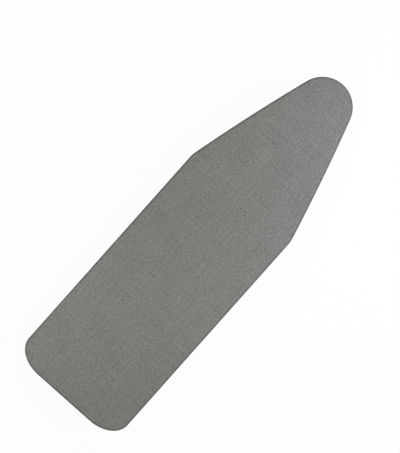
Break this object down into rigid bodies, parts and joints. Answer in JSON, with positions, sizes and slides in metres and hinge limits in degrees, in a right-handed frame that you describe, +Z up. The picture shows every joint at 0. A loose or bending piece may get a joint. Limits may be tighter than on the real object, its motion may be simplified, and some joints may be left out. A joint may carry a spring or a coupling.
{
  "type": "ironing board cover",
  "caption": "Padded grey ironing board cover with a round nose and an elastic hem turned under the board edge, held across the underside by hook and loop straps.",
  "frame": {"origin": "centre of the fitted outline's box, at the level of the lowest strap face", "axes": "+X from the tail to the nose, +Y across the cover, +Z up out of the ironing face"},
  "size_m": [1.166, 0.366, 0.0347],
  "materials": {
    "face_cloth": "fine plain weave cotton, mid grey with a light heather, matt",
    "foam": "open-cell foam sheet, matt",
    "felt": "needled felt, matt, with mixed fibres",
    "binding_tape": "folded cotton tape, sewn",
    "elastic": "flat braided elastic",
    "webbing": "ribbed elastic webbing",
    "hook_tape": "moulded nylon hooks on a woven tape",
    "loop_tape": "brushed loop pile"
  },
  "bodies": {
    "cover": {"face_fabric": "face_cloth", "foam_layer": "foam", "felt_pad": "felt", "hem_binding": "binding_tape", "edge_elastic": "elastic", "strap_tail_sewn_end": "webbing", "strap_tail_loop_tab": "webbing", "strap_tail_loop_patch": "loop_tape", "strap_middle_sewn_end": "webbing", "strap_middle_loop_tab": "webbing", "strap_middle_loop_patch": "loop_tape", "strap_nose_sewn_end": "webbing", "strap_nose_loop_tab": "webbing", "strap_nose_loop_patch": "loop_tape"},
    "strap_tail": {"strap_tail_webbing": "webbing", "strap_tail_hook_patch": "hook_tape"},
    "strap_middle": {"strap_middle_webbing": "webbing", "strap_middle_hook_patch": "hook_tape"},
    "strap_nose": {"strap_nose_webbing": "webbing", "strap_nose_hook_patch": "hook_tape"}
  },
  "joints": [
    {"name": "strap_tail_fold", "type": "hinge", "parent": "cover", "child": "strap_tail", "pos_m": [-0.44, -0.12942, 0.0005], "axis": [-1, 0, 0], "range_deg": [0, 90]},
    {"name": "strap_middle_fold", "type": "hinge", "parent": "cover", "child": "strap_middle", "pos_m": [-0.17, -0.12942, 0.0005], "axis": [-1, 0, 0], "range_deg": [0, 90]},
    {"name": "strap_nose_fold", "type": "hinge", "parent": "cover", "child": "strap_nose", "pos_m": [0.1, -0.12942, 0.0005], "axis": [-1, 0, 0], "range_deg": [0, 90]}
  ]
}
